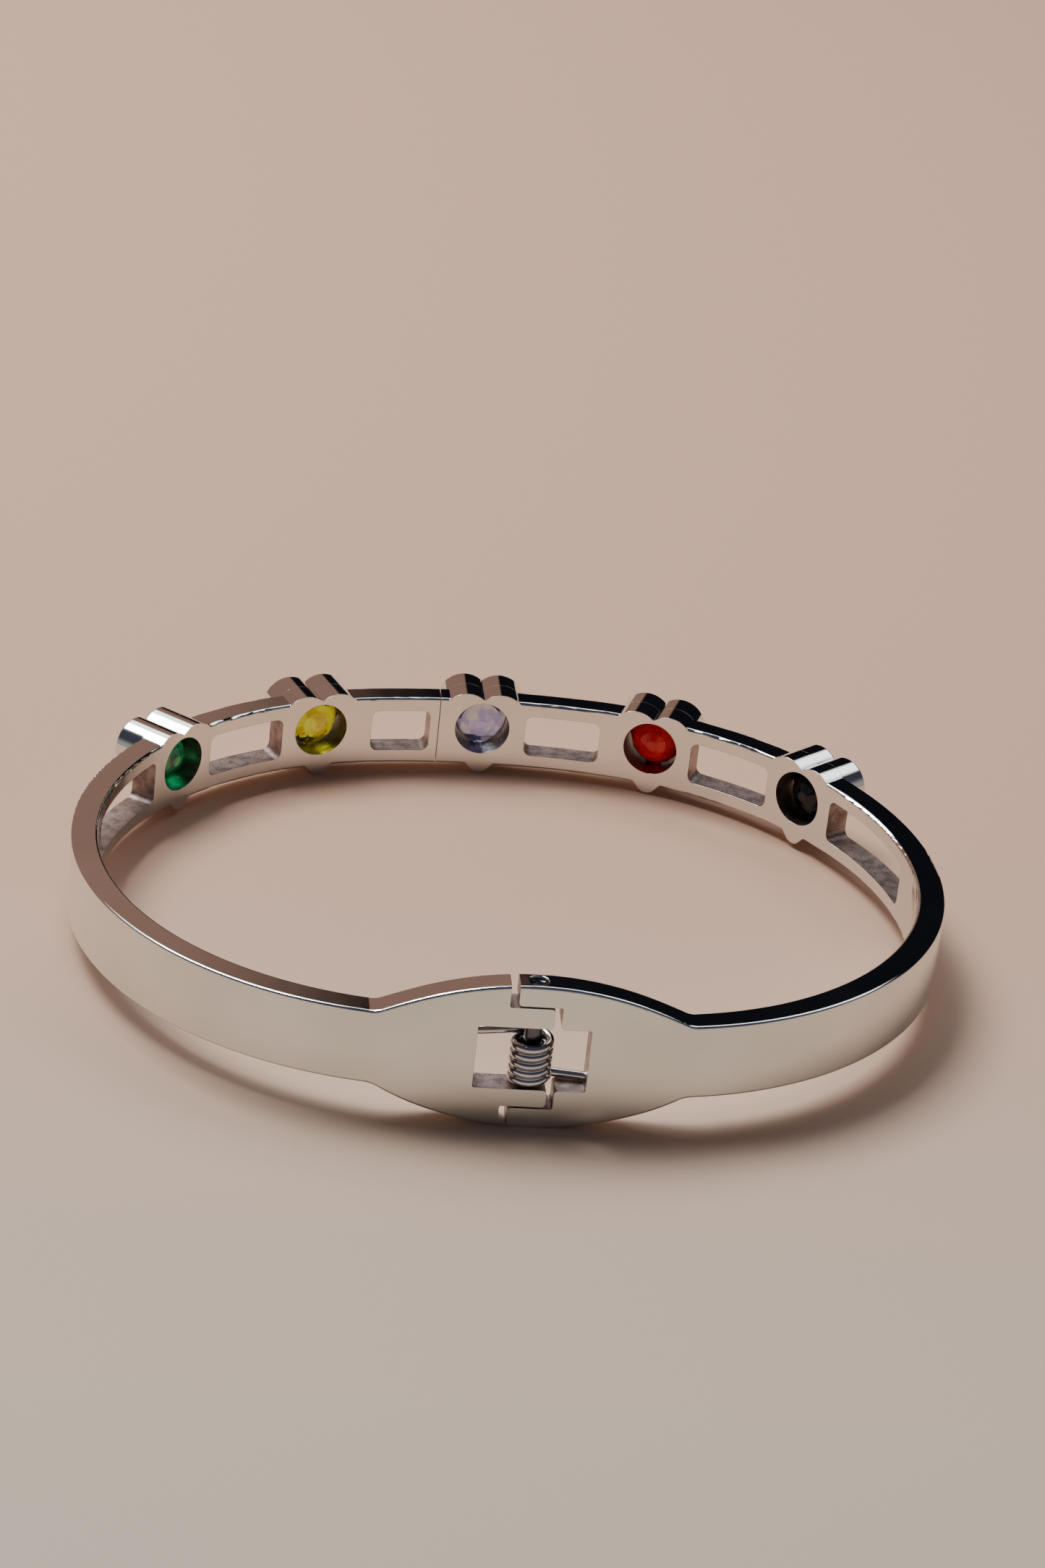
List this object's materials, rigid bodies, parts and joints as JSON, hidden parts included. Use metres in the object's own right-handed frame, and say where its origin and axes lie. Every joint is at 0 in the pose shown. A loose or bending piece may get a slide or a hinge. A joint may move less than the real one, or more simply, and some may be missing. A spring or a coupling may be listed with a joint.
{
  "type": "hinged bangle bracelet",
  "caption": "Oval spring-hinged bangle bracelet that opens in two halves, with a pierced band and heart-shaped stone settings.",
  "frame": {"origin": "middle of the wrist opening at its widest level, halfway up the band", "axes": "+Z along the wrist and the hinge pin, hinge at -Y, heart settings facing +Y, +X along the wide side of the oval"},
  "size_m": [0.064, 0.056, 0.011],
  "materials": {
    "steel": "mirror polished stainless steel",
    "spring_steel": "polished spring wire",
    "pin_steel": "polished steel pin",
    "green_stone": "faceted emerald green",
    "yellow_stone": "faceted olive yellow",
    "clear_stone": "faceted clear with a lavender coating",
    "red_stone": "faceted siam red",
    "black_stone": "faceted black"
  },
  "bodies": {
    "right_half": {"right_half_band": "steel", "hinge_pin": "pin_steel", "torsion_spring": "spring_steel", "clear_setting": "steel", "clear_stone": "clear_stone", "red_setting": "steel", "red_stone": "red_stone", "black_setting": "steel", "black_stone": "black_stone"},
    "left_half": {"left_half_band": "steel", "green_setting": "steel", "green_stone": "green_stone", "yellow_setting": "steel", "yellow_stone": "yellow_stone"}
  },
  "joints": [
    {"name": "hinge", "type": "hinge", "parent": "right_half", "child": "left_half", "pos_m": [0, -0.024, 0], "axis": [0, 0, 1], "range_deg": [0, 45], "stiffness_Nm_per_rad": 0.038, "springref_deg": -20.05, "deforming": ["torsion_spring"]}
  ]
}
